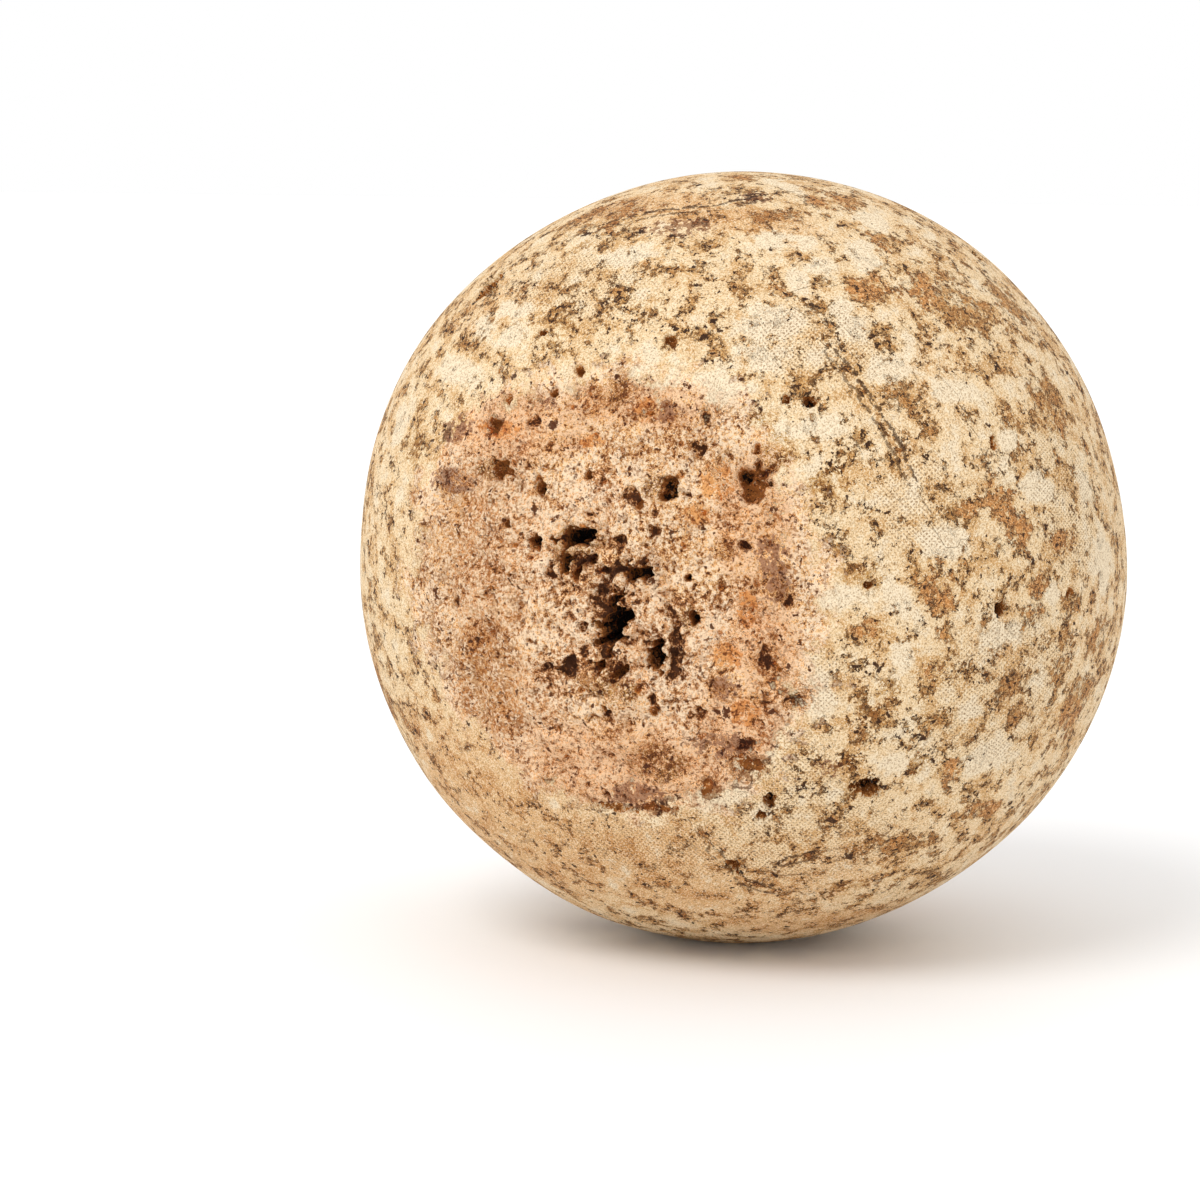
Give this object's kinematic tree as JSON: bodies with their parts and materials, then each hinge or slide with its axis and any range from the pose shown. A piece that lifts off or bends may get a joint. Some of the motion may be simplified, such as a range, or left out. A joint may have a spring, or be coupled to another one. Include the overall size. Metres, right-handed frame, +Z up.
{
  "type": "mimolette cheese",
  "caption": "Whole ball of aged hard cheese standing on its rim, with a cream mite-pitted rind and a rough eaten face in front.",
  "frame": {"origin": "middle of the bottom of the ball's box, under the ball's centre, at the level that it rests on", "axes": "+Z up; -Y is the side of the rough eaten face; Y is the ball's shorter way through, X and Z are its full width and height"},
  "size_m": [0.2006, 0.1686, 0.1989],
  "materials": {
    "rind": "dry, matt, mottled cream and ochre rind with fine pits"
  },
  "bodies": {
    "root": {"cheese_ball": "rind"}
  },
  "joints": []
}
